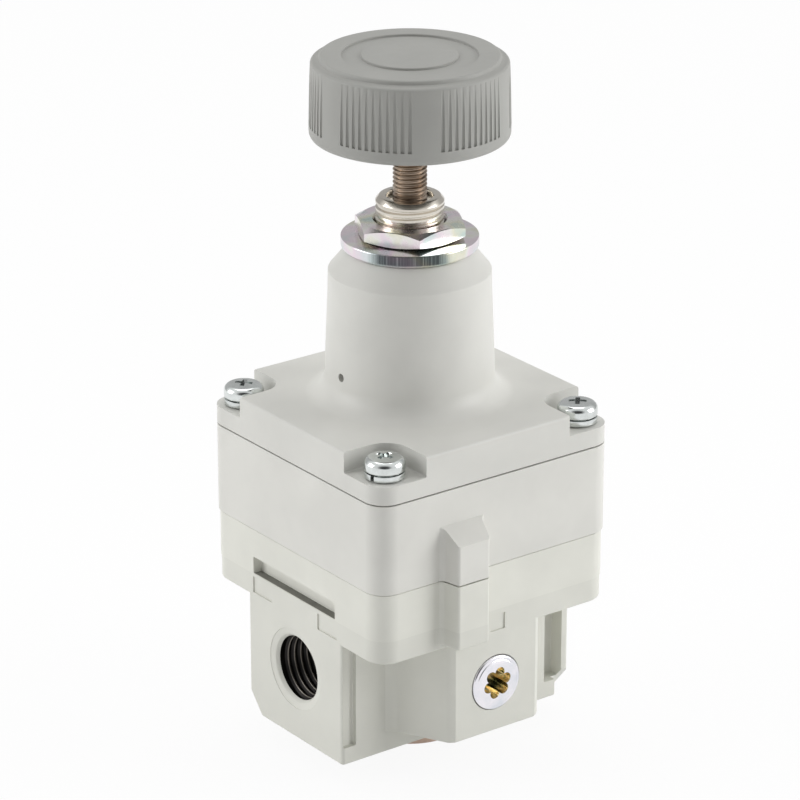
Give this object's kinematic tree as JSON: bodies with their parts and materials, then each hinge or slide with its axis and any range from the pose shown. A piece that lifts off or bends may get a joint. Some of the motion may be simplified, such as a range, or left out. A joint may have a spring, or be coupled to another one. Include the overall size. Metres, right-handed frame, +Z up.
{
  "type": "precision pressure regulator",
  "caption": "Square diecast precision air regulator with threaded inlet and outlet ports, plugged gauge ports, a tapered bonnet and a grooved knob on a fine adjusting screw.",
  "frame": {"origin": "centre of the valve guide's flat underside, on which the regulator rests", "axes": "+Z up along the adjusting screw; the outlet port faces -X, the inlet port +X, and the plugged gauge ports face -Y and +Y"},
  "size_m": [0.05, 0.0538, 0.1231],
  "materials": {
    "casting_lower": "satin warm-white paint on diecast metal",
    "casting_mid": "satin warm-white paint on diecast metal",
    "casting_bonnet": "satin warm-white paint on diecast metal",
    "grey_plastic": "moulded mid-grey plastic",
    "nickel_plate": "bright nickel plate",
    "bronze": "bronze-brown fine thread",
    "chromate_zinc": "zinc plate with an iridescent chromate",
    "bright_zinc": "bright zinc plate",
    "brass": "machined",
    "tan_plastic": "moulded tan plastic",
    "black_rubber": "moulded",
    "spring_steel": "drawn wire",
    "pressed_steel": "pressed sheet",
    "machined_aluminium": "machined"
  },
  "bodies": {
    "regulator_body": {"body_screw_back_left": "bright_zinc", "body_screw_back_right": "bright_zinc", "body_screw_front_left": "bright_zinc", "body_screw_front_right": "bright_zinc", "bonnet": "casting_bonnet", "diaphragm_spacer": "machined_aluminium", "fixed_orifice": "brass", "flapper_diaphragm": "black_rubber", "gauge_plug_back": "bright_zinc", "gauge_plug_front": "bright_zinc", "gauge_seal_back": "black_rubber", "gauge_seal_front": "black_rubber", "guide_o_ring": "black_rubber", "lower_body": "casting_lower", "lower_diaphragm": "black_rubber", "mid_body": "casting_mid", "panel_nut": "chromate_zinc", "panel_washer": "chromate_zinc", "pilot_nozzle": "brass", "screw_bushing": "nickel_plate", "set_spring": "spring_steel", "spring_washer_back_left": "bright_zinc", "spring_washer_back_right": "bright_zinc", "spring_washer_front_left": "bright_zinc", "spring_washer_front_right": "bright_zinc", "upper_diaphragm": "black_rubber", "valve_guide": "tan_plastic", "valve_spring": "spring_steel"},
    "valve": {"valve_poppet": "brass", "valve_face_seal": "black_rubber"},
    "relief_stack": {"relief_spindle": "machined_aluminium", "lower_diaphragm_plate": "pressed_steel", "upper_diaphragm_plate": "pressed_steel", "diaphragm_hub": "machined_aluminium", "diaphragm_nut": "bright_zinc"},
    "flapper": {"flapper_plate": "pressed_steel", "lower_spring_seat": "machined_aluminium"},
    "spring_feed": {"upper_spring_seat": "machined_aluminium", "thrust_ball": "bright_zinc"},
    "hand_screw": {"knob": "grey_plastic", "knob_insert": "brass", "adjusting_stem": "bronze"}
  },
  "joints": [
    {"name": "knob_turn", "type": "hinge", "parent": "spring_feed", "child": "hand_screw", "pos_m": [0, 0, 0.1089], "axis": [0, 0, 1], "range_deg": [-2880, 0]},
    {"name": "screw_feed", "type": "slide", "parent": "regulator_body", "child": "spring_feed", "axis": [0, 0, 1], "range_m": [-0.006, 0], "deforming": ["set_spring"]},
    {"name": "flapper_stroke", "type": "slide", "parent": "regulator_body", "child": "flapper", "axis": [0, 0, 1], "range_m": [-0.00015, 0], "stiffness_N_per_m": 2000, "springref_m": 0.0002},
    {"name": "valve_stroke", "type": "slide", "parent": "regulator_body", "child": "valve", "axis": [0, 0, 1], "range_m": [-0.001, 0], "stiffness_N_per_m": 1000, "springref_m": 0.002, "deforming": ["valve_spring", "lower_diaphragm", "upper_diaphragm"]},
    {"name": "relief_lift", "type": "slide", "parent": "valve", "child": "relief_stack", "axis": [0, 0, 1], "range_m": [0, 0.0005]}
  ],
  "couplings": [
    {"joint": "knob_turn", "follows": "screw_feed", "rad_per_m": 8377.6}
  ]
}
